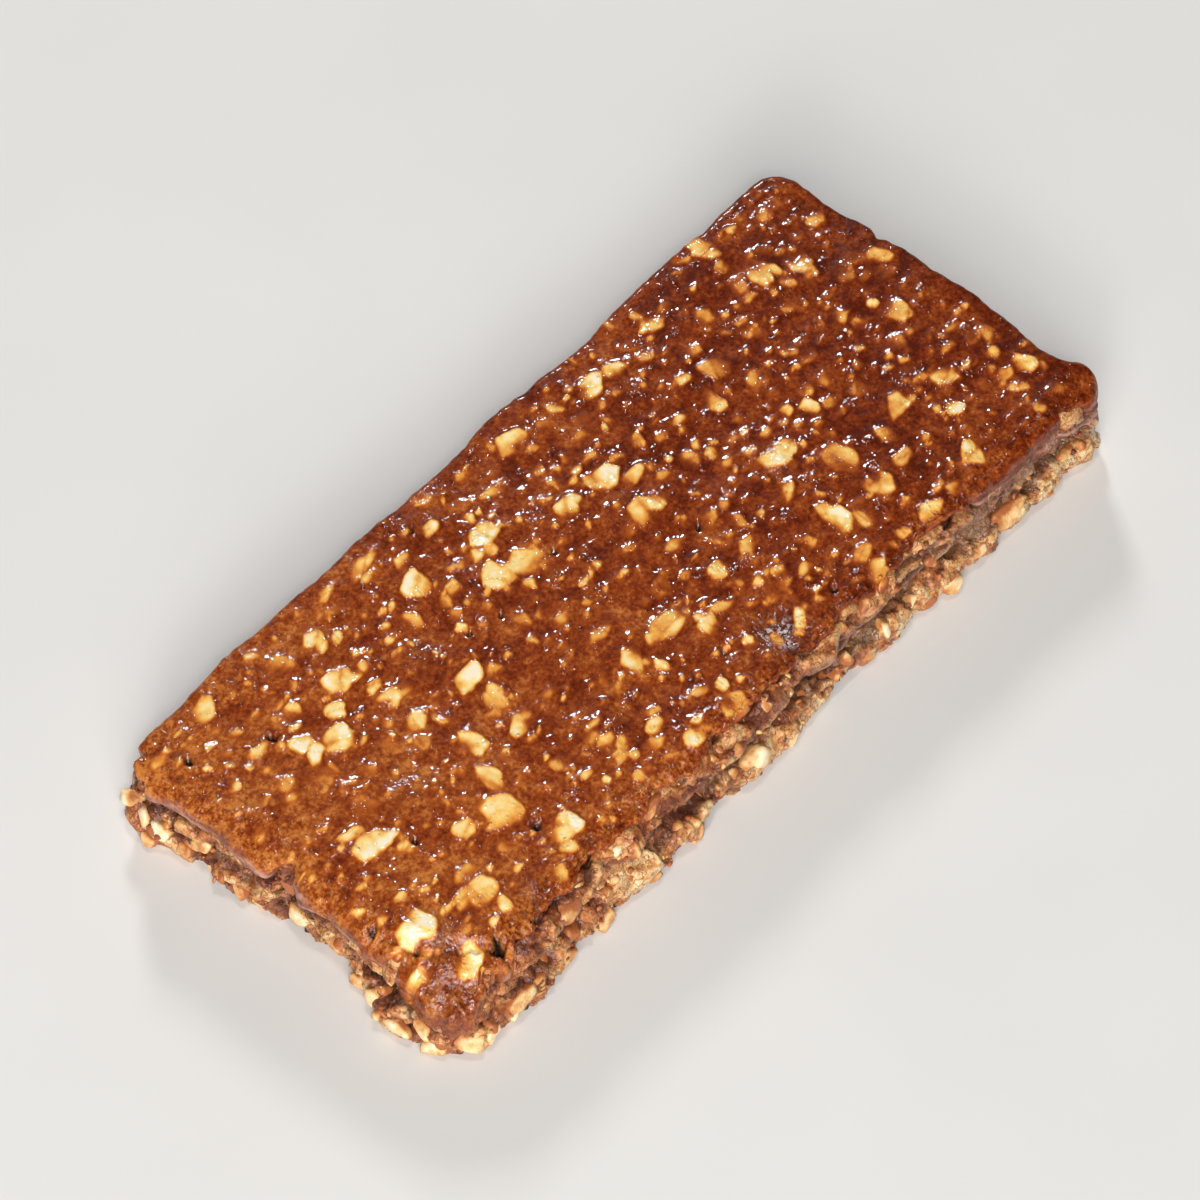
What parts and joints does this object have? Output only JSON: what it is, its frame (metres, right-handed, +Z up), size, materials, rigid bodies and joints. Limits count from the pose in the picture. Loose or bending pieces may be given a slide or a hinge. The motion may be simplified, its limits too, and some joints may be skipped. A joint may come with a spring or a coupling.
{
  "type": "granola bar",
  "caption": "Flat oblong granola bar of chopped nuts in brown syrup paste, with a crevice round its crumbly side and one sagging corner.",
  "frame": {"origin": "centre of the bar's plan box, on the plane it rests on", "axes": "+X along the length, +Y across the width, +Z up through the smooth top skin"},
  "size_m": [0.1016, 0.046, 0.0104],
  "materials": {
    "paste": "glossy sticky syrup paste",
    "nut": "roasted chopped peanut, satin"
  },
  "bodies": {
    "root": {"bar": "paste"}
  },
  "joints": []
}
